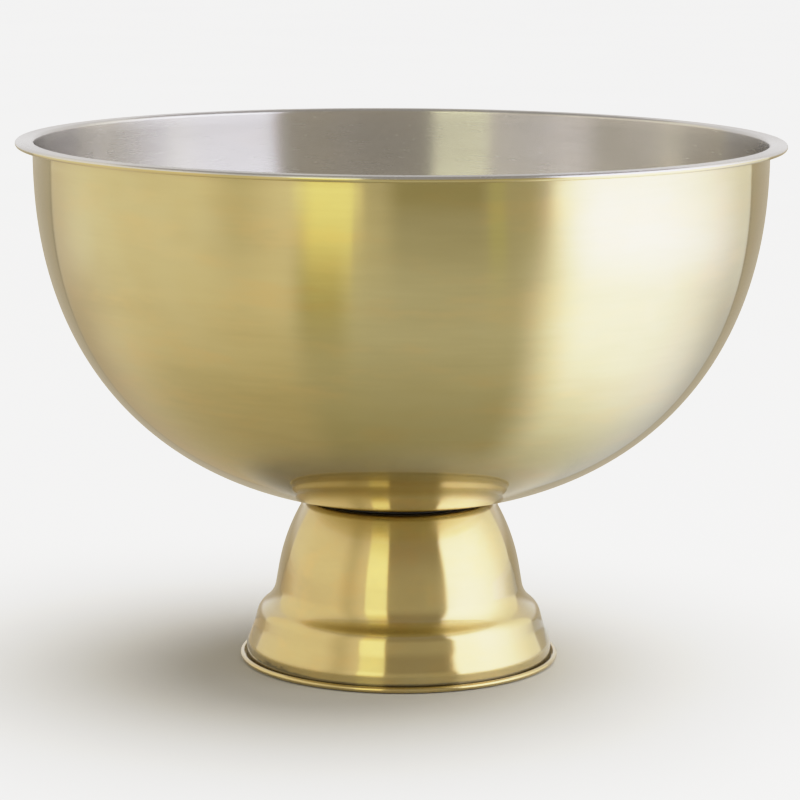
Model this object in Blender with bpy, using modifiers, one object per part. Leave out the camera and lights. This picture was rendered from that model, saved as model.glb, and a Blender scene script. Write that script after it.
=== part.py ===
"""Footed champagne bowl: a spun bowl with a rolled lip, bolted on a spun, stepped foot.

Metres, +Z up.  The origin is at the centre of the circle that the foot stands on.
Every sheet-metal outline below is the middle line of the sheet, so the faces lie half a sheet to each side.
"""

import math

import bmesh
import bpy
from mathutils import Matrix, Vector

# --- driving dimensions -----------------------------------------------------------------------------------
SHEET = 0.0008  # wall of the bowl and of the foot
GAP = 0.0003  # left between pieces that touch

RIM_RADIUS = 0.2000  # outside of the rolled lip
TOTAL_HEIGHT = 0.2755
ROLL_RADIUS = 0.0015  # outside radius of both rolled edges
LIP_ROLL_END = -130  # degrees: the lip is rolled from its top face round to here
BOWL_RADIUS = 0.1906  # wall just under the lip
BOWL_DEPTH = 0.1888  # from the lip's lower edge to the lowest point the wall's curve would reach
BOWL_FULLNESS = 2.29  # exponent of the wall's curve: 2 is an ellipse, more is fuller
LIP_CORNER = 0.0016  # radius from the wall into the flat of the lip
SEAT_RADIUS = 0.0475  # flat in the bottom of the bowl

BEAD_RADIUS = 0.0846  # outside of the rolled bead at the bottom of the foot
BEAD_FLANGE = 0.0041  # from the bead's outermost line in to the wall above it
BEAD_ROLL_END = 120  # degrees: the bead is rolled from its underside round to here
FOOT_TOP_RADIUS = 0.0500
FOOT_TOP_CORNER = 0.005
FOOT_HOLE_RADIUS = 0.0065
FOOT_STEP = [  # corners of the bell between its top and its wall: x, z, radius, arc steps
    (0.0608, 0.0645, 0.100, 4),
    (0.0660, 0.0334, 0.017, 4),
    (0.0741, 0.0266, 0.009, 4),
    (0.0764, 0.0180, 0.030, 2),
]
FOOT_WALL_TOP = 0.0085
FOOT_WALL_CORNER = 0.008

GASKET_THICKNESS = 0.0010
GASKET_RADIUS = 0.0455
GASKET_HOLE_RADIUS = 0.0120
GASKET_EDGE = 0.0002  # broken corner

STUD_RADIUS = 0.0040  # M8
THREAD_PITCH = 0.00125
THREAD_DEPTH = 0.00065
STUD_FLANGE_RADIUS = 0.0110
STUD_PAST_NUT = 0.0035

RING_EDGE = 0.0003  # broken corners of the plate and the washers

PLATE_RADIUS = 0.0300
PLATE_THICKNESS = 0.0015
PLATE_HOLE_RADIUS = 0.0046

WASHER_RADIUS = 0.0120
WASHER_THICKNESS = 0.0016
WASHER_HOLE_RADIUS = 0.0044

SPRING_RADIUS = 0.0074
SPRING_THICKNESS = 0.0020
SPRING_HOLE_RADIUS = 0.0044
SPRING_SLOT = 0.0012
SPRING_SLOT_TILT = math.radians(20)

NUT_FLATS = 0.0130
NUT_HEIGHT = 0.0065
NUT_HOLE_RADIUS = 0.0043
NUT_CHAMFER = math.radians(30)
NUT_FACE_SHARE = 0.95  # round end face, as a share of the width over the flats

BOWL_STEPS = 56  # round the axis
FOOT_STEPS = 48
SMALL_STEPS = 24
WALL_STEPS = 13  # down the wall of the bowl
ROLL_STEPS = 6
CORNER_STEPS = 2

CUTTER_OVERRUN = 0.001
CUTTER_REACH = 1.2  # width of the chamfer cutter, as a share of the nut's corners
MERGE_DISTANCE = 0.00001
SHARP_EDGE = math.radians(35)

# --- levels worked out from them, from the bowl's seat down ------------------------------------------------
ROLL_MID = ROLL_RADIUS - SHEET / 2
CURVE_TOP = TOTAL_HEIGHT - 2 * ROLL_RADIUS
SEAT_Z = CURVE_TOP - BOWL_DEPTH * (1 - (SEAT_RADIUS / BOWL_RADIUS) ** BOWL_FULLNESS) ** (1 / BOWL_FULLNESS)
GASKET_TOP = SEAT_Z - SHEET / 2 - GAP
FOOT_TOP = GASKET_TOP - GASKET_THICKNESS - GAP - SHEET / 2
PLATE_TOP = FOOT_TOP - SHEET / 2 - GAP
WASHER_TOP = PLATE_TOP - PLATE_THICKNESS - GAP
SPRING_TOP = WASHER_TOP - WASHER_THICKNESS - GAP
NUT_TOP = SPRING_TOP - SPRING_THICKNESS - GAP
STUD_END = NUT_TOP - NUT_HEIGHT - STUD_PAST_NUT


# --- outlines ----------------------------------------------------------------------------------------------
def arc(centre, radius, start, end, steps):
    """Points on a circle in the X-Z plane, from one angle to another, in degrees."""
    points = []
    for i in range(steps + 1):
        angle = math.radians(start + (end - start) * i / steps)
        points.append((centre[0] + radius * math.cos(angle), centre[1] + radius * math.sin(angle)))
    return points


def rounded(corners):
    """An outline through corners (x, z, radius, steps), each turned as an arc of that radius."""
    points = [corners[0][:2]]
    for before, corner, after in zip(corners, corners[1:], corners[2:]):
        here = Vector(corner[:2])
        back = (Vector(before[:2]) - here).normalized()
        ahead = (Vector(after[:2]) - here).normalized()
        half = back.angle(ahead) / 2
        reach = corner[2] / math.tan(half)
        centre = here + (back + ahead).normalized() * corner[2] / math.sin(half)
        start = here + back * reach - centre
        end = here + ahead * reach - centre
        turn = end.angle_signed(start)
        for i in range(corner[3] + 1):
            points.append(tuple(centre + Matrix.Rotation(turn * i / corner[3], 2) @ start))
    points.append(corners[-1][:2])
    return points


def bowl_outline():
    """From the tip of the rolled lip, over the lip and down the wall to the middle of the seat."""
    lip_z = TOTAL_HEIGHT - SHEET / 2
    roll_centre = (RIM_RADIUS - ROLL_RADIUS, TOTAL_HEIGHT - ROLL_RADIUS)
    corner_centre = (BOWL_RADIUS + LIP_CORNER, lip_z - LIP_CORNER)
    roll = arc(roll_centre, ROLL_MID, LIP_ROLL_END, 90, ROLL_STEPS)
    corner = arc(corner_centre, LIP_CORNER, 90, 180, CORNER_STEPS)
    wall = []
    lowest = math.acos((SEAT_RADIUS / BOWL_RADIUS) ** (BOWL_FULLNESS / 2))
    for i in range(WALL_STEPS + 1):
        angle = lowest * i / WALL_STEPS
        x = BOWL_RADIUS * math.cos(angle) ** (2 / BOWL_FULLNESS)
        z = CURVE_TOP - BOWL_DEPTH * math.sin(angle) ** (2 / BOWL_FULLNESS)
        wall.append((x, z))
    return roll + corner + wall + [(0.0, SEAT_Z)]


def foot_outline():
    """From the hole in the foot's top, down the stepped bell and round the bead at its lower edge."""
    bead_centre = (BEAD_RADIUS - ROLL_RADIUS, ROLL_RADIUS)
    wall_x = BEAD_RADIUS - BEAD_FLANGE
    top = [
        (FOOT_HOLE_RADIUS, FOOT_TOP, 0, 0),
        (FOOT_TOP_RADIUS, FOOT_TOP, FOOT_TOP_CORNER, 3),
    ]
    wall = [
        (wall_x, FOOT_WALL_TOP, FOOT_WALL_CORNER, CORNER_STEPS),
        (wall_x, SHEET / 2, ROLL_MID, CORNER_STEPS),
        (bead_centre[0], SHEET / 2, 0, 0),
    ]
    bell = rounded(top + FOOT_STEP + wall)
    return bell[:-1] + arc(bead_centre, ROLL_MID, -90, BEAD_ROLL_END, ROLL_STEPS)


def ring_outline(inner, outer, top, thickness, edge):
    """A closed section of a flat ring with its outer corners broken."""
    bottom = top - thickness
    return [
        (inner, top),
        (outer - edge, top),
        (outer, top - edge),
        (outer, bottom + edge),
        (outer - edge, bottom),
        (inner, bottom),
        (inner, top),
    ]


def stud_outline():
    """Half section of the stud: weld flange, plain neck and thread, which is cut as rings."""
    flange_z = GASKET_TOP - GASKET_THICKNESS
    core = STUD_RADIUS - THREAD_DEPTH
    points = [(0.0, GASKET_TOP), (STUD_FLANGE_RADIUS, GASKET_TOP), (STUD_FLANGE_RADIUS, flange_z)]
    points.append((core, flange_z))
    z = PLATE_TOP
    while z - THREAD_PITCH > STUD_END + THREAD_PITCH / 2:
        points.append((core, z))
        points.append((STUD_RADIUS, z - THREAD_PITCH / 2))
        z -= THREAD_PITCH
    points.append((core, z))
    points.append((core, STUD_END))
    points.append((0.0, STUD_END))
    return points


# --- modelling helpers -------------------------------------------------------------------------------------
def new_collection(name):
    collection = bpy.data.collections.new(name)
    bpy.context.scene.collection.children.link(collection)
    return collection


def material(name, colour, metallic, roughness):
    made = bpy.data.materials.new(name)
    made.use_nodes = True
    shader = made.node_tree.nodes["Principled BSDF"]
    shader.inputs["Base Color"].default_value = (*colour, 1.0)
    shader.inputs["Metallic"].default_value = metallic
    shader.inputs["Roughness"].default_value = roughness
    return made


def add(mesh, name, collection, finish=None):
    made = bpy.data.objects.new(name, mesh)
    collection.objects.link(made)
    if finish:
        mesh.materials.append(finish)
        mesh.shade_smooth()
        mesh.set_sharp_from_angle(angle=SHARP_EDGE)
    return made


def turned(name, outline, steps, collection, finish=None, wall=0.0):
    """A turned piece: the outline stands at +X and is carried round Z.  A wall makes a shell of it."""
    mesh = bpy.data.meshes.new(name)
    edges = [(i, i + 1) for i in range(len(outline) - 1)]
    mesh.from_pydata([(x, 0.0, z) for x, z in outline], edges, [])
    made = add(mesh, name, collection)
    screw = made.modifiers.new("turn", "SCREW")
    screw.steps = steps
    screw.render_steps = steps
    screw.use_merge_vertices = True
    screw.merge_threshold = MERGE_DISTANCE
    screw.use_smooth_shade = True
    if wall:
        shell = made.modifiers.new("wall", "SOLIDIFY")
        shell.thickness = wall
        shell.offset = 0.0
        shell.use_even_offset = True
    if finish:
        mesh.materials.append(finish)
    return made


def cut(target, cutter, operation="DIFFERENCE"):
    boolean = target.modifiers.new(operation.lower(), "BOOLEAN")
    boolean.object = cutter
    boolean.operation = operation
    boolean.solver = "EXACT"


def hidden(cutter):
    cutter.hide_render = True
    cutter.display_type = "WIRE"
    return cutter


# --- the pieces --------------------------------------------------------------------------------------------
def make_spring_washer(parts, cutters, finish):
    outline = ring_outline(SPRING_HOLE_RADIUS, SPRING_RADIUS, SPRING_TOP, SPRING_THICKNESS, RING_EDGE)
    ring = turned("spring_washer", outline, SMALL_STEPS, parts, finish)
    mesh = bpy.data.meshes.new("spring_slot")
    shape = bmesh.new()
    bmesh.ops.create_cube(shape, size=1.0)
    bmesh.ops.scale(shape, vec=(SPRING_RADIUS, SPRING_SLOT, 3 * SPRING_THICKNESS), verts=shape.verts)
    shape.to_mesh(mesh)
    shape.free()
    slot = hidden(add(mesh, "spring_slot", cutters))
    slot.location = (SPRING_RADIUS, 0.0, SPRING_TOP - SPRING_THICKNESS / 2)
    slot.rotation_euler = (SPRING_SLOT_TILT, 0.0, 0.0)
    cut(ring, slot)


def make_nut(parts, cutters, finish):
    """A hexagon whose corners are turned off by a chamfer cone above and below."""
    corner = NUT_FLATS / math.sqrt(3)
    mesh = bpy.data.meshes.new("hex_nut")
    shape = bmesh.new()
    bmesh.ops.create_cone(shape, cap_ends=True, segments=6, radius1=corner, radius2=corner, depth=NUT_HEIGHT)
    shape.to_mesh(mesh)
    shape.free()
    nut = add(mesh, "hex_nut", parts, finish)
    nut.location = (0.0, 0.0, NUT_TOP - NUT_HEIGHT / 2)

    reach = CUTTER_REACH * corner
    face = NUT_FACE_SHARE * NUT_FLATS / 2
    drop = (reach - face) * math.tan(NUT_CHAMFER)
    outline = [
        (0.0, NUT_TOP),
        (face, NUT_TOP),
        (reach, NUT_TOP - drop),
        (reach, NUT_TOP - NUT_HEIGHT + drop),
        (face, NUT_TOP - NUT_HEIGHT),
        (0.0, NUT_TOP - NUT_HEIGHT),
    ]
    cut(nut, hidden(turned("nut_chamfer", outline, SMALL_STEPS, cutters)), "INTERSECT")

    above = NUT_TOP + CUTTER_OVERRUN
    below = NUT_TOP - NUT_HEIGHT - CUTTER_OVERRUN
    bore = [(0.0, above), (NUT_HOLE_RADIUS, above), (NUT_HOLE_RADIUS, below), (0.0, below)]
    cut(nut, hidden(turned("nut_bore", bore, SMALL_STEPS, cutters)))


def main():
    for left_over in list(bpy.data.objects):
        bpy.data.objects.remove(left_over)
    parts = new_collection("champagne_bowl")
    cutters = new_collection("cutters")

    brass = material("brushed_brass", (0.62, 0.50, 0.22), 1.0, 0.30)
    zinc = material("zinc_plate", (0.60, 0.61, 0.62), 1.0, 0.35)
    steel = material("plain_steel", (0.52, 0.52, 0.51), 1.0, 0.40)
    rubber = material("black_rubber", (0.02, 0.02, 0.02), 0.0, 0.80)

    turned("bowl", bowl_outline(), BOWL_STEPS, parts, brass, wall=SHEET)
    turned("foot", foot_outline(), FOOT_STEPS, parts, brass, wall=SHEET)
    gasket = ring_outline(GASKET_HOLE_RADIUS, GASKET_RADIUS, GASKET_TOP, GASKET_THICKNESS, GASKET_EDGE)
    turned("gasket", gasket, FOOT_STEPS, parts, rubber)
    turned("weld_stud", stud_outline(), SMALL_STEPS, parts, steel)
    plate = ring_outline(PLATE_HOLE_RADIUS, PLATE_RADIUS, PLATE_TOP, PLATE_THICKNESS, RING_EDGE)
    turned("backing_plate", plate, FOOT_STEPS, parts, steel)
    washer = ring_outline(WASHER_HOLE_RADIUS, WASHER_RADIUS, WASHER_TOP, WASHER_THICKNESS, RING_EDGE)
    turned("flat_washer", washer, SMALL_STEPS, parts, zinc)
    make_spring_washer(parts, cutters, zinc)
    make_nut(parts, cutters, zinc)


main()
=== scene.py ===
"""Looks of the footed champagne bowl: finely turned sheet metal, its finishes, the studio and the camera."""

import math

import bpy
import numpy as np
from mathutils import Matrix, Vector


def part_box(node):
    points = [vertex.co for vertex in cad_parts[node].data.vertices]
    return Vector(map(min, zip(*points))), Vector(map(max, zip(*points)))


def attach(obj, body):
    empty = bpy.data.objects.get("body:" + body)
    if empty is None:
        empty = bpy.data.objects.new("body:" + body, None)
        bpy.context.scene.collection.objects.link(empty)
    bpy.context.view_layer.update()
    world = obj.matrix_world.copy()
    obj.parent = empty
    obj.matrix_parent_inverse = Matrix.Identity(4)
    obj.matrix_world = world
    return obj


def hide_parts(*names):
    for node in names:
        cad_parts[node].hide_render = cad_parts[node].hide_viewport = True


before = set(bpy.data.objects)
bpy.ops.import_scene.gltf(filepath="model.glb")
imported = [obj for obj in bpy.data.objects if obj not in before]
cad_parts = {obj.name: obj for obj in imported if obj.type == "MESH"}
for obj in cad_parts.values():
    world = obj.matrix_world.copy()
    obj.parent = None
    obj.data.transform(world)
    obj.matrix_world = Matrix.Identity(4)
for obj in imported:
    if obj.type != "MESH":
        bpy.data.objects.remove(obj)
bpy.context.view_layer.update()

# --- sizes read from the frame -----------------------------------------------------------------------------
RIM_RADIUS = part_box("bowl")[1].x
TOTAL_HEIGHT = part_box("bowl")[1].z
SEAT_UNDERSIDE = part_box("bowl")[0].z
BEAD_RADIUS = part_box("foot")[1].x
FOOT_TOP_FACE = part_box("foot")[1].z

# --- sizes of the sheet-metal shapes, as in the design -----------------------------------------------------
SHEET = 0.0008
ROLL_RADIUS = 0.0015
BOWL_RADIUS = 0.1906
BOWL_FULLNESS = 2.29
LIP_CORNER = 0.0016
SEAT_RADIUS = 0.0475
LIP_ROLL_END = -130  # degrees: the lip is rolled from its top face round to here
BRASS_EDGE_ANGLE = 12  # degrees above the roll's outermost line where brass meets the steel of the lip
FOOT_TOP_RADIUS = 0.0500
FOOT_TOP_CORNER = 0.005
FOOT_HOLE_RADIUS = 0.0065
FOOT_STEP = [  # corners of the bell between its top and its wall: x, z, radius, arc steps
    (0.0608, 0.0645, 0.100, 24),
    (0.0660, 0.0334, 0.017, 24),
    (0.0741, 0.0266, 0.009, 16),
    (0.0764, 0.0180, 0.030, 12),
]
FOOT_WALL_TOP = 0.0085
FOOT_WALL_CORNER = 0.008
BEAD_FLANGE = 0.0041  # from the bead's outermost line in to the wall above it
BEAD_ROLL_END = 120  # degrees: the bead is rolled from its underside round to here

# --- sizes of the fastening, as in the design --------------------------------------------------------------
GASKET_HOLE_RADIUS = 0.0120
PLATE_HOLE_RADIUS = 0.0046
WASHER_HOLE_RADIUS = 0.0044
SPRING_SLOT = 0.0012
SPRING_SLOT_TILT = math.radians(20)
NUT_FLATS = 0.0130
NUT_HOLE_RADIUS = 0.0043
NUT_CHAMFER = math.radians(30)
NUT_FACE_SHARE = 0.95  # round end face, as a share of the width over the flats
NUT_COUNTERSINK = 0.0004
STUD_RADIUS = 0.0040  # M8
THREAD_PITCH = 0.00125
THREAD_DEPTH = 0.00065
THREAD_CREST = 1.15  # height of the thread's triangle before its crest is cut flat, as a share of its depth

# --- steps of the meshes -----------------------------------------------------------------------------------
RING_STEPS = 288  # round the axis
SMALL_STEPS = 96  # round the nut, the split washer and the stud
TENT_STEPS = 96
WALL_STEPS = 90  # down the wall of the bowl
BEAD_CORNER_STEPS = 8
EDGE_STEPS = 6
STEPS_PER_THREAD = 8
SHARP_EDGE = math.radians(40)

# --- camera ------------------------------------------------------------------------------------------------
CAMERA_DISTANCE = 1.704
CAMERA_HEIGHT = 0.4271
CAMERA_PITCH = math.radians(9.648)
CAMERA_ROLL = math.radians(0.317)
CAMERA_LENS = 147.5
CAMERA_SENSOR = 36.0

# --- light tent: sizes in metres ---------------------------------------------------------------------------
TENT_INNER = 0.10
TENT_RADIUS = 2.4
TENT_HEIGHT = 2.4
NEAR_TO_FAR = (0.5, 1.1)  # radii between which the near floor turns into the far floor
FLOOR_TO_WALL = (0.002, 0.06)  # heights between which the floor turns into the wall
FIGURE_REACH = (1.2, 2.1)  # radii over which the dark stretch in front comes in

# --- light tent: places round it, in degrees from the camera's side, to the right above zero ---------------
LEFT_PANEL = (-150.0, -28.0)
LEFT_PANEL_END = (-134.0, -108.0)
LEFT_FLOOR_FADE = (-134.0, -90.0)
PANEL_GAP_PLACE = (-55.0, -40.0)
WALL_STRIP = (-31.0, -11.0)
FAR_STRIP_LEFT = (-30.0, -24.0)
FAR_STRIP_RIGHT = (-14.0, -12.8)
NEAR_STRIP = (-28.0, -15.0)
BESIDE_STRIP = (-14.0, -3.0)
FIGURE_PLACE = (-9.0, 24.0)
GREEN_PLACE = (24.5, 29.5)
SOFTBOX_LEFT = (42.0, 47.5)
FAR_LIT_LEFT = (36.0, 60.0)
NEAR_LIT_LEFT = (30.0, 55.0)
SOFTBOX_FADE = (72.0, 134.0)
NEAR_LIT_FADE = (65.0, 134.0)
SEAM_EDGE = (133.0, 133.8)  # on both sides
BACKDROP_EDGE = (134.6, 136.0)

# --- light tent: light from its parts ----------------------------------------------------------------------
DARK_WALL = (0.60, 0.56, 0.44)
DARK_WALL_HIGH = (0.37, 0.33, 0.27)
DIM_ROOM = (0.63, 0.62, 0.54)
FIGURE = (0.08, 0.07, 0.04)
GREEN_ROOM = (0.72, 0.74, 0.44)
PANEL = (1.10, 1.06, 0.96)
PANEL_GAP = (0.88, 0.84, 0.70)
PANEL_END = (0.72, 0.64, 0.50)
WALL_PANEL = (1.14, 1.09, 0.96)
WALL_PANEL_END = (1.05, 0.98, 0.80)
LOW_STRIP = (1.50, 1.42, 0.74)
TALL_STRIP = (2.05, 2.05, 1.50)
HIGH_STRIP = (1.25, 1.22, 0.78)
SOFTBOX = (2.5, 2.55, 3.0)
SOFTBOX_END = (1.25, 1.22, 1.10)
FAR_LIT_END = (0.92, 0.92, 0.90)
FAR_LIT_FLOOR = (3.2, 3.3, 4.9)
FRONT_FLOOR = (0.76, 0.76, 0.70)
FRONT_FLOOR_UNDER = (0.40, 0.36, 0.20)
LEFT_FLOOR = (1.0, 0.95, 0.80)
LEFT_FLOOR_UNDER = (0.52, 0.45, 0.28)
LEFT_FLOOR_END = (0.55, 0.45, 0.30)
STRIP_FLOOR = (0.52, 0.48, 0.28)
LIT_FLOOR = (2.3, 2.4, 3.0)
LIT_FLOOR_UNDER = (0.66, 0.68, 0.56)
LIT_FLOOR_END = (0.60, 0.60, 0.58)
SEAM = (0.36, 0.32, 0.25)
BACKDROP = (0.50, 0.44, 0.33)
BACKDROP_HIGH = (0.88, 0.87, 0.88)

# --- other light and the view ------------------------------------------------------------------------------
WORLD_LIGHT = (0.42, 0.41, 0.39)
OVERHEAD_ENERGY = 3.6
OVERHEAD_SPREAD = math.radians(60)
OVERHEAD_TILT = math.radians(8)
SIDE_ENERGY = 8.0
SIDE_SIZE = 1.2
SIDE_PLACE = (1.8, -0.4, 1.2)
FLOOR_HALF = 14.0
FLOOR_DROP = 0.0002  # below the foot
BRIGHTEST = 4.0
SHOULDER = ((0.2, 0.2), (0.4, 0.4), (0.6, 0.6), (0.8, 0.75), (1.0, 0.845), (1.5, 0.93), (2.4, 0.975))

# --- turned metal: noise as (scale round the axis, scale across the marks, detail) -------------------------
FINE_MARKS = (14.0, 1500.0, 3.0)
LINE_MARKS = (5.0, 420.0, 3.0)
BROAD_MARKS = (2.2, 38.0, 2.0)
PATINA_MARKS = (3.5, 60.0, 3.0)
SMEAR_MARKS = (3.5, 90.0, 4.0)
CLOUD_SCALE = 11.0
# dark colour on the foot's wall just above the bead: polishing residue, with painted shade of the groove
# between bead and wall
GRIME_AND_SHADE = (0.13, 0.105, 0.05)
GRIME_AND_SHADE_SHARE = 0.85
GRIME_AND_SHADE_HEIGHT = 0.0040
GRIME_SPREAD = 0.0040  # how much higher it reaches at most
GRIME_AND_SHADE_RIM = 0.0032  # from the bead's outermost line in to where the painted shade and residue start
BRASS = (0.53, 0.44, 0.185)
BRASS_DARK = (0.47, 0.385, 0.15)
FOOT_BRASS = (0.57, 0.445, 0.175)
FOOT_BRASS_DARK = (0.52, 0.40, 0.15)
STEEL = (0.65, 0.625, 0.59)
STEEL_DARK = (0.59, 0.565, 0.53)
DULL = (0.50, 0.46, 0.36)
DULL_DARK = (0.42, 0.39, 0.31)
ZINC = (0.62, 0.63, 0.64)
PLAIN_STEEL = (0.52, 0.52, 0.51)
BLACK = (0.012, 0.012, 0.012)
DUST = (0.03, 0.029, 0.027)

# --- worked out from them ----------------------------------------------------------------------------------
ROLL_MID = ROLL_RADIUS - SHEET / 2
CURVE_TOP = TOTAL_HEIGHT - 2 * ROLL_RADIUS
SEAT_Z = SEAT_UNDERSIDE + SHEET / 2
SEAT_SHARE = (1 - (SEAT_RADIUS / BOWL_RADIUS) ** BOWL_FULLNESS) ** (1 / BOWL_FULLNESS)
BOWL_DEPTH = (CURVE_TOP - SEAT_Z) / SEAT_SHARE
FOOT_TOP = FOOT_TOP_FACE - SHEET / 2


# --- node graphs -------------------------------------------------------------------------------------------
class Graph:
    """Short ways to add nodes to one node tree."""

    def __init__(self, tree):
        self.tree = tree

    def node(self, kind, **settings):
        made = self.tree.nodes.new(kind)
        for key, value in settings.items():
            setattr(made, key, value)
        return made

    def put(self, socket, value):
        if isinstance(value, bpy.types.NodeSocket):
            self.tree.links.new(value, socket)
        elif isinstance(value, (tuple, list)) and socket.type == "RGBA" and len(value) == 3:
            socket.default_value = (*value, 1.0)
        else:
            socket.default_value = value

    def math(self, operation, *values, clamp=False):
        made = self.node("ShaderNodeMath", operation=operation, use_clamp=clamp)
        for socket, value in zip(made.inputs, values):
            self.put(socket, value)
        return made.outputs[0]

    def combine(self, x, y, z):
        made = self.node("ShaderNodeCombineXYZ")
        for socket, value in zip(made.inputs, (x, y, z)):
            self.put(socket, value)
        return made.outputs[0]

    def noise(self, vector, detail=2.0, roughness=0.5, scale=1.0):
        made = self.node("ShaderNodeTexNoise")
        self.put(made.inputs["Vector"], vector)
        made.inputs["Scale"].default_value = scale
        made.inputs["Detail"].default_value = detail
        made.inputs["Roughness"].default_value = roughness
        return made.outputs[0]

    def span(self, value, low, high, to_low=0.0, to_high=1.0, smooth=False):
        made = self.node("ShaderNodeMapRange", interpolation_type="SMOOTHSTEP" if smooth else "LINEAR")
        for name, given in (("Value", value), ("From Min", low), ("From Max", high)):
            self.put(made.inputs[name], given)
        made.inputs["To Min"].default_value = to_low
        made.inputs["To Max"].default_value = to_high
        return made.outputs[0]

    def band(self, value, low, high, edge):
        """1 between low and high, with soft edges."""
        rise = self.span(value, low - edge, low + edge, smooth=True)
        fall = self.span(value, high - edge, high + edge, 1.0, 0.0, smooth=True)
        return self.math("MULTIPLY", rise, fall)

    def mix(self, share, first, second, blend="MIX"):
        made = self.node("ShaderNodeMix", data_type="RGBA", blend_type=blend)
        for name, value in (("Factor_Float", share), ("A_Color", first), ("B_Color", second)):
            self.put(next(s for s in made.inputs if s.identifier == name), value)
        return next(s for s in made.outputs if s.identifier == "Result_Color")


def new_material(name):
    made = bpy.data.materials.new(name)
    made.use_nodes = True
    graph = Graph(made.node_tree)
    return made, graph, made.node_tree.nodes["Principled BSDF"]


def ring_coordinates(graph, across):
    """Place, cosine and sine of the angle round Z, height across the turning marks, radius and z."""
    place = graph.node("ShaderNodeTexCoord").outputs["Object"]
    split = graph.node("ShaderNodeSeparateXYZ")
    graph.put(split.inputs[0], place)
    x, y, z = split.outputs
    squares = graph.math("ADD", graph.math("MULTIPLY", x, x), graph.math("MULTIPLY", y, y))
    radius = graph.math("MAXIMUM", graph.math("SQRT", squares), 0.0005)
    cosine = graph.math("DIVIDE", x, radius)
    sine = graph.math("DIVIDE", y, radius)
    height = graph.math("ADD", z, graph.math("MULTIPLY", radius, across))
    return place, cosine, sine, height, radius, z


def brushed(
    name, colour, dark, roughness, anisotropy=1.0, across=1.0,
    coat=0.0, mark=0.05, stain=1.0, polish=None, grime_and_shade=False,
):
    """Metal brushed round Z.  across is 1 where the profile narrows downwards and -1 where it widens.

    mark is the depth of the turning lines and stain the strength of the cloudy patina.  polish (low, high)
    is the stretch of height over which the metal gets smoother downwards.  grime_and_shade darkens the
    foot's edge above the bead: polishing residue, with painted shade of the groove."""
    made, graph, shader = new_material(name)
    place, cosine, sine, height, radius, z = ring_coordinates(graph, across)

    def marks(round_scale, across_scale, detail):
        parts = [graph.math("MULTIPLY", axis, round_scale) for axis in (cosine, sine)]
        return graph.noise(graph.combine(*parts, graph.math("MULTIPLY", height, across_scale)), detail, 0.6)

    fine = marks(*FINE_MARKS)
    lines = marks(*LINE_MARKS)
    broad = marks(*BROAD_MARKS)
    patina = marks(*PATINA_MARKS)
    cloud = graph.noise(place, 3.0, 0.55, CLOUD_SCALE)

    shade = graph.math("ADD", graph.math("MULTIPLY", lines, 0.25), graph.math("MULTIPLY", broad, 0.75))
    base = graph.mix(graph.span(shade, 0.30, 0.70), dark, colour)
    warm = (colour[0] * 1.02, colour[1] * 0.95, colour[2] * 0.86)
    base = graph.mix(graph.span(patina, 0.45, 0.72, 0.0, stain, smooth=True), base, warm)
    pale = (colour[0] * 0.99, colour[1] * 1.03, colour[2] * 1.18)
    base = graph.mix(graph.span(cloud, 0.50, 0.72, 0.0, 0.6 * stain, smooth=True), base, pale)
    # painted shade: the wall in the groove above the bead is darkened all round, as the groove's shade
    # together with polishing residue; a ragged smear of residue reaches higher on the left
    if grime_and_shade:
        smear = graph.span(marks(*SMEAR_MARKS), 0.40, 0.65, 0.0, GRIME_SPREAD)
        on_the_left = graph.span(cosine, -0.95, -0.45, 1.0, 0.05, smooth=True)
        edge = graph.math("ADD", graph.math("MULTIPLY", smear, on_the_left), GRIME_AND_SHADE_HEIGHT)
        share = graph.span(graph.math("SUBTRACT", z, edge), -0.0006, 0.0004, 1.0, 0.0, smooth=True)
        on_wall = graph.math("LESS_THAN", radius, BEAD_RADIUS - GRIME_AND_SHADE_RIM)
        share = graph.math("MULTIPLY", graph.math("MULTIPLY", share, on_wall), GRIME_AND_SHADE_SHARE)
        base = graph.mix(share, base, GRIME_AND_SHADE)
    graph.put(shader.inputs["Base Color"], base)

    rough = graph.math("ADD", graph.math("MULTIPLY", fine, 0.5), graph.math("MULTIPLY", cloud, 0.5))
    rough = graph.span(rough, 0.3, 0.7, roughness * 0.88, roughness * 1.12)
    if polish:
        rough = graph.math("MULTIPLY", rough, graph.span(z, *polish, 0.5, 1.0, smooth=True))
    graph.put(shader.inputs["Roughness"], rough)
    shader.inputs["Metallic"].default_value = 1.0
    shader.inputs["Anisotropic"].default_value = anisotropy
    shader.inputs["Anisotropic Rotation"].default_value = 0.25
    tangent = graph.node("ShaderNodeTangent", direction_type="RADIAL", axis="Z")
    graph.put(shader.inputs["Tangent"], tangent.outputs[0])
    shader.inputs["Coat Weight"].default_value = coat
    shader.inputs["Coat Roughness"].default_value = 0.03
    shader.inputs["Coat IOR"].default_value = 1.6

    bump = graph.node("ShaderNodeBump")
    graph.put(bump.inputs["Height"], lines)
    bump.inputs["Strength"].default_value = mark
    bump.inputs["Distance"].default_value = 0.0002
    graph.put(shader.inputs["Normal"], bump.outputs[0])
    return made


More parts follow.
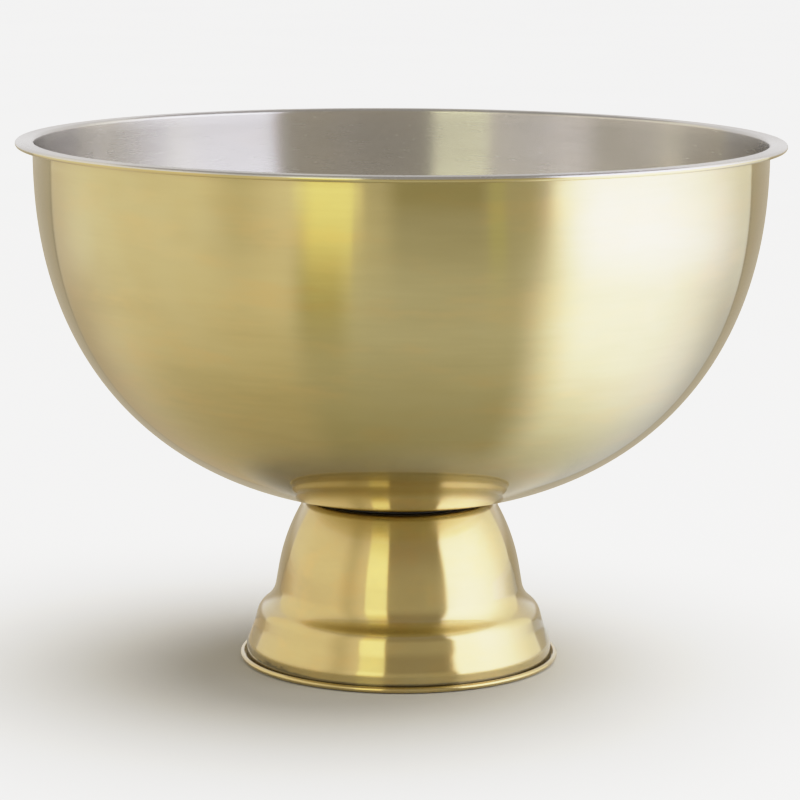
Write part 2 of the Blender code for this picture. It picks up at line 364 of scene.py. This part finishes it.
def plain_metal(name, colour, roughness):
    """Mill or plated surface of a small part: fine grain, small stains, no direction."""
    made, graph, shader = new_material(name)
    place = graph.node("ShaderNodeTexCoord").outputs["Object"]
    grain = graph.noise(place, 4.0, 0.6, 900.0)
    stain = graph.noise(place, 3.0, 0.5, 90.0)
    base = graph.mix(graph.span(stain, 0.35, 0.7), colour, tuple(c * 0.78 for c in colour))
    graph.put(shader.inputs["Base Color"], base)
    rough = graph.math("ADD", graph.math("MULTIPLY", grain, 0.5), graph.math("MULTIPLY", stain, 0.5))
    graph.put(shader.inputs["Roughness"], graph.span(rough, 0.3, 0.7, roughness * 0.8, roughness * 1.25))
    shader.inputs["Metallic"].default_value = 1.0
    bump = graph.node("ShaderNodeBump")
    graph.put(bump.inputs["Height"], grain)
    bump.inputs["Strength"].default_value = 0.15
    bump.inputs["Distance"].default_value = 0.0001
    graph.put(shader.inputs["Normal"], bump.outputs[0])
    return made


def rubber(name):
    """Matt black rubber with a little dust."""
    made, graph, shader = new_material(name)
    place = graph.node("ShaderNodeTexCoord").outputs["Object"]
    grain = graph.noise(place, 4.0, 0.6, 1500.0)
    dust = graph.noise(place, 3.0, 0.5, 60.0)
    graph.put(shader.inputs["Base Color"], graph.mix(dust, BLACK, DUST))
    graph.put(shader.inputs["Roughness"], graph.span(grain, 0.3, 0.7, 0.6, 0.85))
    bump = graph.node("ShaderNodeBump")
    graph.put(bump.inputs["Height"], grain)
    bump.inputs["Strength"].default_value = 0.3
    bump.inputs["Distance"].default_value = 0.0001
    graph.put(shader.inputs["Normal"], bump.outputs[0])
    return made


# --- outlines ----------------------------------------------------------------------------------------------
def arc(centre, radius, start, end, steps):
    """Points on a circle in the X-Z plane, from one angle to another, in degrees."""
    points = []
    for i in range(steps + 1):
        angle = math.radians(start + (end - start) * i / steps)
        points.append((centre[0] + radius * math.cos(angle), centre[1] + radius * math.sin(angle)))
    return points


def rounded(corners):
    """An outline through corners (x, z, radius, steps), each turned as an arc of that radius."""
    points = [corners[0][:2]]
    for before, corner, after in zip(corners, corners[1:], corners[2:]):
        here = Vector(corner[:2])
        back = (Vector(before[:2]) - here).normalized()
        ahead = (Vector(after[:2]) - here).normalized()
        half = back.angle(ahead) / 2
        reach = corner[2] / math.tan(half)
        centre = here + (back + ahead).normalized() * corner[2] / math.sin(half)
        start = here + back * reach - centre
        end = here + ahead * reach - centre
        turn = end.angle_signed(start)
        for i in range(corner[3] + 1):
            points.append(tuple(centre + Matrix.Rotation(turn * i / corner[3], 2) @ start))
    points.append(corners[-1][:2])
    return points


def bowl_line():
    """Middle line of the bowl's sheet, from the tip of the roll to the middle of the seat.

    Also gives the number of its stretches, from the tip on, that are brass on both sides."""
    lip_z = TOTAL_HEIGHT - SHEET / 2
    roll_centre = (RIM_RADIUS - ROLL_RADIUS, TOTAL_HEIGHT - ROLL_RADIUS)
    corner_centre = (BOWL_RADIUS + LIP_CORNER, lip_z - LIP_CORNER)
    brass_roll = arc(roll_centre, ROLL_MID, LIP_ROLL_END, BRASS_EDGE_ANGLE, 20)
    steel_roll = arc(roll_centre, ROLL_MID, BRASS_EDGE_ANGLE, 90, 12)[1:]
    corner = arc(corner_centre, LIP_CORNER, 90, 180, 10)
    lowest = math.acos((SEAT_RADIUS / BOWL_RADIUS) ** (BOWL_FULLNESS / 2))
    wall = []
    for i in range(1, WALL_STEPS + 1):
        angle = lowest * i / WALL_STEPS
        x = BOWL_RADIUS * math.cos(angle) ** (2 / BOWL_FULLNESS)
        z = CURVE_TOP - BOWL_DEPTH * math.sin(angle) ** (2 / BOWL_FULLNESS)
        wall.append((x, z))
    flat = [(SEAT_RADIUS * share, SEAT_Z) for share in (0.97, 0.6, 0.3)]
    return brass_roll + steel_roll + corner + wall + flat + [(0.0, SEAT_Z)], len(brass_roll) - 1


def foot_line():
    """Middle line of the foot's sheet, from the hole in its top to the tip of its rolled bead.

    Also gives the number of its stretches above the bead's roll."""
    bead_centre = (BEAD_RADIUS - ROLL_RADIUS, ROLL_RADIUS)
    wall_x = BEAD_RADIUS - BEAD_FLANGE
    top = [
        (FOOT_HOLE_RADIUS, FOOT_TOP, 0, 0),
        (FOOT_TOP_RADIUS, FOOT_TOP, FOOT_TOP_CORNER, 12),
    ]
    wall = [
        (wall_x, FOOT_WALL_TOP, FOOT_WALL_CORNER, 10),
        (wall_x, SHEET / 2, ROLL_MID, BEAD_CORNER_STEPS),
        (bead_centre[0], SHEET / 2, 0, 0),
    ]
    bell = rounded(top + FOOT_STEP + wall)
    return bell[:-1] + arc(bead_centre, ROLL_MID, -90, BEAD_ROLL_END, 26), len(bell) - 1


def offset(line, distance):
    """The line moved sideways, towards the left of its direction."""
    points = np.array(line)
    steps = np.diff(points, axis=0)
    steps /= np.linalg.norm(steps, axis=1)[:, None]
    before = np.vstack([steps[:1], steps])
    after = np.vstack([steps, steps[-1:]])
    normal = np.stack([-(before + after)[:, 1], (before + after)[:, 0]], axis=1)
    normal /= np.linalg.norm(normal, axis=1)[:, None]
    left_of_step = np.stack([-after[:, 1], after[:, 0]], axis=1)
    stretch = 1 / np.maximum(0.5, np.abs((normal * left_of_step).sum(axis=1)))
    moved = points + normal * distance * stretch[:, None]
    moved[points[:, 0] == 0.0, 0] = 0.0
    return [tuple(p) for p in moved]


# --- turned meshes -----------------------------------------------------------------------------------------
def smooth_object(name, vertices, faces):
    mesh = bpy.data.meshes.new(name)
    mesh.from_pydata(vertices, [], faces)
    mesh.shade_smooth()
    mesh.set_sharp_from_angle(angle=SHARP_EDGE)
    made = bpy.data.objects.new(name, mesh)
    bpy.context.scene.collection.objects.link(made)
    return made


def turned_mesh(name, outline, slots, closed=True, steps=RING_STEPS, shape=None):
    """A surface of revolution round Z.  outline goes round the section; slots gives each stretch's material.

    shape, where given, turns (x, z, angle) into the radius at that angle."""
    vertices, rings = [], []
    for x, z in outline:
        if x < 1e-9:
            rings.append([len(vertices)] * steps)
            vertices.append((0.0, 0.0, z))
            continue
        rings.append(list(range(len(vertices), len(vertices) + steps)))
        for i in range(steps):
            angle = 2 * math.pi * i / steps
            radius = shape(x, z, angle) if shape else x
            vertices.append((radius * math.cos(angle), radius * math.sin(angle), z))
    faces, indices = [], []
    pairs = list(zip(rings, rings[1:])) + ([(rings[-1], rings[0])] if closed else [])
    for (upper, lower), slot in zip(pairs, slots):
        if upper[0] == upper[1] and lower[0] == lower[1]:
            continue
        for i in range(steps):
            j = (i + 1) % steps
            corners = [upper[i], lower[i], lower[j], upper[j]]
            faces.append(list(dict.fromkeys(corners)))
            indices.append(slot)
    made = smooth_object(name, vertices, faces)
    made.data.polygons.foreach_set("material_index", indices)
    return made


def sheet_metal(name, node, line, outside, inside, materials):
    """A turned piece of sheet.  outside and inside give the material slot of each stretch of the line."""
    outer, inner = offset(line, SHEET / 2), offset(line, -SHEET / 2)
    outline = outer + inner[::-1]
    slots = outside + [outside[-1]] + inside[::-1] + [inside[0]]
    made = turned_mesh(name, outline, slots)
    for material in materials:
        made.data.materials.append(material)
    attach(made, "root")
    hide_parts(node)
    return made


def make_bowl(brass, steel):
    line, turn = bowl_line()
    count = len(line) - 1
    outside = [0] * count
    inside = [0] * turn + [1] * (count - turn)
    made = sheet_metal("spun_bowl", "bowl", line, outside, inside, [brass, steel])
    return made


def make_foot(brass, dull):
    line, turn = foot_line()
    count = len(line) - 1
    outside = [0] * count
    dull_count = turn - BEAD_CORNER_STEPS
    inside = [1] * dull_count + [0] * (count - dull_count)
    made = sheet_metal("spun_foot", "foot", line, outside, inside, [brass, dull])
    return made


# --- the fastening under the bowl --------------------------------------------------------------------------
def lofted(name, sections, closed):
    """A surface through sections that follow each other round Z.  An open one gets a face at each end."""
    count = len(sections[0])
    vertices = [point for section in sections for point in section]
    faces = []
    for k in range(len(sections) if closed else len(sections) - 1):
        here, ahead = k * count, (k + 1) % len(sections) * count
        for i in range(count):
            j = (i + 1) % count
            faces.append((here + i, here + j, ahead + j, ahead + i))
    if not closed:
        faces.append(tuple(reversed(range(count))))
        faces.append(tuple(range(len(vertices) - count, len(vertices))))
    return smooth_object(name, vertices, faces)


def fastening(made, node, finish):
    """Gives a small part its finish and lets it stand for its CAD node."""
    made.data.materials.append(finish)
    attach(made, "root")
    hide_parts(node)


def ring_section(node, hole, edge):
    """Section of a flat ring as large as a CAD node, with rounded edges, from its top face outwards."""
    low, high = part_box(node)
    middle = ((hole + high.x) / 2, high.z)
    corners = [
        (*middle, 0, 0),
        (high.x, high.z, edge, EDGE_STEPS),
        (high.x, low.z, edge, EDGE_STEPS),
        (hole, low.z, edge, EDGE_STEPS),
        (hole, high.z, edge, EDGE_STEPS),
        (*middle, 0, 0),
    ]
    return rounded(corners)[:-1]


def make_flat_rings(black, steel, zinc):
    for name, node, hole, edge, slot, finish in (
        ("rubber_gasket", "gasket", GASKET_HOLE_RADIUS, 0.00035, "black_rubber", black),
        ("clamp_plate", "backing_plate", PLATE_HOLE_RADIUS, 0.00025, "plain_steel", steel),
        ("round_washer", "flat_washer", WASHER_HOLE_RADIUS, 0.00030, "zinc_plate", zinc),
    ):
        section = ring_section(node, hole, edge)
        fastening(turned_mesh(name, section, [0] * len(section)), node, finish)


def make_split_washer(zinc):
    """A flat ring with a slanted slot at +X."""
    section = ring_section("spring_washer", WASHER_HOLE_RADIUS, 0.00025)
    low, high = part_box("spring_washer")
    middle_z = (low.z + high.z) / 2
    sections = []
    for k in range(SMALL_STEPS + 1):
        points = []
        for x, z in section:
            gap = SPRING_SLOT / 2 / x
            slant = -(z - middle_z) * math.tan(SPRING_SLOT_TILT) / x
            angle = gap + (2 * math.pi - 2 * gap) * k / SMALL_STEPS + slant
            points.append((x * math.cos(angle), x * math.sin(angle), z))
        sections.append(points)
    fastening(lofted("split_washer", sections, closed=False), "spring_washer", zinc)


def make_chamfered_nut(zinc):
    """A hexagon with flats across X, its corners turned off above and below and its bore countersunk."""
    low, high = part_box("hex_nut")
    face = NUT_FACE_SHARE * NUT_FLATS / 2
    sections = []
    for k in range(SMALL_STEPS):
        angle = 2 * math.pi * k / SMALL_STEPS
        from_flat = (angle + math.pi / 6) % (math.pi / 3) - math.pi / 6
        side = NUT_FLATS / 2 / math.cos(from_flat)
        drop = (side - face) * math.tan(NUT_CHAMFER)
        wide = NUT_HOLE_RADIUS + NUT_COUNTERSINK
        outline = [
            (wide, high.z),
            (face, high.z),
            (side, high.z - drop),
            (side, low.z + drop),
            (face, low.z),
            (wide, low.z),
            (NUT_HOLE_RADIUS, low.z + NUT_COUNTERSINK),
            (NUT_HOLE_RADIUS, high.z - NUT_COUNTERSINK),
        ]
        sections.append([(x * math.cos(angle), x * math.sin(angle), z) for x, z in outline])
    fastening(lofted("chamfered_nut", sections, closed=True), "hex_nut", zinc)


def make_threaded_stud(steel):
    """A weld stud: a flat flange, a short neck and a right-hand thread that runs out at both ends."""
    low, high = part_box("weld_stud")
    core = STUD_RADIUS - THREAD_DEPTH
    flange_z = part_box("gasket")[0].z
    thread_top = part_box("backing_plate")[1].z
    rings = round((thread_top - low.z) / THREAD_PITCH * STEPS_PER_THREAD)

    def threaded(x, z, angle):
        if x < core or z > thread_top:
            return x
        turn = (z / THREAD_PITCH - angle / (2 * math.pi)) % 1.0
        height = min(1.0, THREAD_CREST * (1 - abs(2 * turn - 1))) * THREAD_DEPTH
        run_out = min(1.0, (thread_top - z) / THREAD_PITCH)
        return core + min(height * run_out, z - low.z)

    outline = [(0.0, high.z), (high.x, high.z), (high.x, flange_z), (core, flange_z)]
    outline += [(core, thread_top + (low.z - thread_top) * i / rings) for i in range(rings + 1)]
    outline.append((0.0, low.z))
    made = turned_mesh("threaded_stud", outline, [0] * len(outline), False, SMALL_STEPS, threaded)
    fastening(made, "weld_stud", steel)


# --- studio ------------------------------------------------------------------------------------------------
def make_floor():
    mesh = bpy.data.meshes.new("floor")
    corners = [(FLOOR_HALF * x, FLOOR_HALF * y, 0) for x, y in ((-1, -1), (1, -1), (1, 1), (-1, 1))]
    mesh.from_pydata(corners, [], [(0, 1, 2, 3)])
    floor = bpy.data.objects.new("floor", mesh)
    bpy.context.scene.collection.objects.link(floor)
    floor.location.z = -FLOOR_DROP
    made, graph, shader = new_material("pale_floor")
    place = graph.node("ShaderNodeTexCoord").outputs["Object"]
    tone = graph.span(graph.noise(place, 4.0, 0.5, 3.0), 0.3, 0.7, 0.82, 0.84)
    graph.put(shader.inputs["Base Color"], graph.combine(tone, tone, tone))
    shader.inputs["Roughness"].default_value = 0.75
    shader.inputs["Specular IOR Level"].default_value = 0.2
    mesh.materials.append(made)


def make_world():
    """Even, pale light from all round."""
    world = bpy.data.worlds.new("studio")
    bpy.context.scene.world = world
    world.use_nodes = True
    world.node_tree.nodes["Background"].inputs["Color"].default_value = (*WORLD_LIGHT, 1.0)


def tent_wall(graph, between, azimuth, slope):
    """A pale panel and a warm strip to the left, a softbox to the right, dim in between."""
    wall = between(slope, 0.25, 0.6, DARK_WALL, DARK_WALL_HIGH)
    panel = between(azimuth, *LEFT_PANEL_END, WALL_PANEL_END, WALL_PANEL)
    panel = graph.mix(graph.band(azimuth, *PANEL_GAP_PLACE, 8.0), panel, PANEL_GAP)
    wall = graph.mix(graph.band(azimuth, *LEFT_PANEL, 4.0), wall, panel)
    strip = between(slope, 0.4, 0.7, between(slope, 0.0, 0.12, LOW_STRIP, TALL_STRIP), HIGH_STRIP)
    wall = graph.mix(graph.band(azimuth, *WALL_STRIP, 0.8), wall, strip)
    softbox = between(azimuth, *SOFTBOX_FADE, SOFTBOX, SOFTBOX_END)
    return between(azimuth, *SOFTBOX_LEFT, wall, softbox)


def tent_far_floor(graph, between, azimuth, radius):
    """The floor as the steep part of the bowl mirrors it: a dark stretch in front, lit on both sides."""
    floor = graph.mix(graph.band(azimuth, *GREEN_PLACE, 1.2), DIM_ROOM, GREEN_ROOM)
    in_front = graph.band(azimuth, *FIGURE_PLACE, 3.0)
    far_off = graph.span(radius, *FIGURE_REACH, smooth=True)
    floor = graph.mix(graph.math("MULTIPLY", in_front, far_off), floor, FIGURE)
    floor = graph.mix(graph.band(azimuth, *BESIDE_STRIP, 4.0), floor, PANEL_GAP)
    panel = between(azimuth, *LEFT_PANEL_END, PANEL_END, PANEL)
    panel = graph.mix(graph.band(azimuth, *PANEL_GAP_PLACE, 8.0), panel, PANEL_GAP)
    floor = graph.mix(graph.band(azimuth, *LEFT_PANEL, 4.0), floor, panel)
    rise = graph.span(azimuth, *FAR_STRIP_LEFT, smooth=True)
    fall = graph.span(azimuth, *FAR_STRIP_RIGHT, 1.0, 0.0, smooth=True)
    floor = graph.mix(graph.math("MULTIPLY", rise, fall), floor, LOW_STRIP)
    lit = between(azimuth, *SOFTBOX_FADE, FAR_LIT_FLOOR, FAR_LIT_END)
    return between(azimuth, *FAR_LIT_LEFT, floor, lit)


def tent_near_floor(graph, between, azimuth, radius):
    """The floor close by, as the underside of the bowl mirrors it, darker towards the foot."""
    floor = between(radius, 0.06, 0.40, FRONT_FLOOR_UNDER, FRONT_FLOOR)
    left = between(radius, 0.06, 0.5, LEFT_FLOOR_UNDER, LEFT_FLOOR)
    left = between(azimuth, *LEFT_FLOOR_FADE, LEFT_FLOOR_END, left)
    floor = graph.mix(graph.band(azimuth, *LEFT_PANEL, 8.0), floor, left)
    strip = graph.band(azimuth, *NEAR_STRIP, 4.0)
    floor = graph.mix(graph.math("MULTIPLY", strip, graph.span(radius, 0.25, 0.5)), floor, STRIP_FLOOR)
    lit = between(radius, 0.08, 0.4, LIT_FLOOR_UNDER, LIT_FLOOR)
    lit = between(azimuth, *NEAR_LIT_FADE, lit, LIT_FLOOR_END)
    return between(azimuth, *NEAR_LIT_LEFT, floor, lit)


def tent_light():
    """The glow of the tent by its place, with an even backdrop at the back and a seam on each side of it."""
    made = bpy.data.materials.new("light_tent")
    made.use_nodes = True
    made.node_tree.nodes.clear()
    graph = Graph(made.node_tree)
    split = graph.node("ShaderNodeSeparateXYZ")
    graph.put(split.inputs[0], graph.node("ShaderNodeTexCoord").outputs["Object"])
    x, y, z = split.outputs
    turn = graph.math("ARCTAN2", x, graph.math("MULTIPLY", y, -1.0))
    azimuth = graph.math("MULTIPLY", turn, 180 / math.pi)
    aside = graph.math("ABSOLUTE", azimuth)
    squares = graph.math("ADD", graph.math("MULTIPLY", x, x), graph.math("MULTIPLY", y, y))
    radius = graph.math("SQRT", squares)
    slope = graph.math("DIVIDE", z, radius)

    def between(value, low, high, first, second):
        return graph.mix(graph.span(value, low, high, smooth=True), first, second)

    near_floor = tent_near_floor(graph, between, azimuth, radius)
    far_floor = tent_far_floor(graph, between, azimuth, radius)
    light = between(radius, *NEAR_TO_FAR, near_floor, far_floor)
    light = between(z, *FLOOR_TO_WALL, light, tent_wall(graph, between, azimuth, slope))
    seam = between(slope, 0.0, 0.1, SEAM, BACKDROP_HIGH)
    light = graph.mix(graph.span(aside, *SEAM_EDGE), light, seam)
    backdrop = between(slope, 0.0, 0.15, BACKDROP, BACKDROP_HIGH)
    light = graph.mix(graph.span(aside, *BACKDROP_EDGE), light, backdrop)

    emission = graph.node("ShaderNodeEmission")
    graph.put(emission.inputs["Color"], light)
    shares = graph.node("ShaderNodeMixShader")
    graph.put(shares.inputs[0], graph.span(radius, TENT_INNER, TENT_INNER + 0.05, smooth=True))
    graph.put(shares.inputs[1], graph.node("ShaderNodeBsdfTransparent").outputs[0])
    graph.put(shares.inputs[2], emission.outputs[0])
    graph.put(graph.node("ShaderNodeOutputMaterial").inputs["Surface"], shares.outputs[0])
    made.cycles.emission_sampling = "NONE"
    return made


def make_tent():
    """What the metal mirrors: a ring on the floor and a round wall, seen only in reflections."""
    outline = [(TENT_INNER, 0.001), (TENT_RADIUS, 0.001), (TENT_RADIUS, TENT_HEIGHT)]
    tent = turned_mesh("light_tent", outline, [0, 0], closed=False, steps=TENT_STEPS)
    tent.data.materials.append(tent_light())
    for ray in ("camera", "diffuse", "shadow", "transmission", "volume_scatter"):
        setattr(tent, "visible_" + ray, False)


def make_lights():
    """A very large soft light overhead, tilted a little towards the back, and a softbox to the right."""
    light = bpy.data.lights.new("overhead", "SUN")
    light.energy = OVERHEAD_ENERGY
    light.angle = OVERHEAD_SPREAD
    made = bpy.data.objects.new("overhead", light)
    bpy.context.scene.collection.objects.link(made)
    made.rotation_euler = (-OVERHEAD_TILT, OVERHEAD_TILT, 0)
    made.visible_glossy = False

    light = bpy.data.lights.new("side", "AREA")
    light.shape = "RECTANGLE"
    light.size = SIDE_SIZE
    light.size_y = SIDE_SIZE
    light.energy = SIDE_ENERGY
    made = bpy.data.objects.new("side", light)
    bpy.context.scene.collection.objects.link(made)
    made.location = SIDE_PLACE
    made.rotation_euler = (Vector((0, 0, 0.1)) - made.location).to_track_quat("-Z", "Y").to_euler()
    made.visible_camera = False
    made.visible_glossy = False


def make_camera():
    camera = bpy.data.objects.new("camera", bpy.data.cameras.new("camera"))
    bpy.context.scene.collection.objects.link(camera)
    camera.data.lens = CAMERA_LENS
    camera.data.sensor_width = CAMERA_SENSOR
    camera.data.clip_end = 100.0
    ahead = Vector((0.0, math.cos(CAMERA_PITCH), -math.sin(CAMERA_PITCH)))
    right = Vector((1.0, 0.0, 0.0))
    up = right.cross(ahead)
    c, s = math.cos(CAMERA_ROLL), math.sin(CAMERA_ROLL)
    axes = Matrix((right * c + up * s, up * c - right * s, -ahead)).transposed()
    camera.matrix_world = Matrix.Translation((0.0, -CAMERA_DISTANCE, CAMERA_HEIGHT)) @ axes.to_4x4()
    bpy.context.scene.camera = camera


def make_exposure():
    """Plain colours, with a soft shoulder above a linear value of 0.6, so that bright brass turns cream."""
    view = bpy.context.scene.view_settings
    view.view_transform = "Standard"
    view.use_curve_mapping = True
    mapping = view.curve_mapping
    mapping.white_level = (BRIGHTEST, BRIGHTEST, BRIGHTEST)
    combined = mapping.curves[3]
    for light, shown in SHOULDER:
        combined.points.new(light / BRIGHTEST, shown)
    mapping.update()


bowl_brass = brushed("brushed_brass", BRASS, BRASS_DARK, 0.20, coat=1.0, polish=(0.095, 0.15))
bowl_steel = brushed("brushed_steel", STEEL, STEEL_DARK, 0.26, mark=0.006, stain=0.15)
# the foot's edge above the bead gets painted shade of the groove and polishing residue
foot_brass = brushed(
    "brushed_brass_foot", FOOT_BRASS, FOOT_BRASS_DARK, 0.20, across=-1.0, coat=1.0, mark=0.04, grime_and_shade=True
)
foot_dull = brushed("dull_steel", DULL, DULL_DARK, 0.34, anisotropy=0.6, across=-1.0, mark=0.02)
zinc = plain_metal("zinc_plate", ZINC, 0.32)
steel = plain_metal("plain_steel", PLAIN_STEEL, 0.36)
black = rubber("black_rubber")

make_bowl(bowl_brass, bowl_steel)
make_foot(foot_brass, foot_dull)
make_flat_rings(black, steel, zinc)
make_split_washer(zinc)
make_chamfered_nut(zinc)
make_threaded_stud(steel)

make_floor()
make_world()
make_tent()
make_lights()
make_camera()
make_exposure()
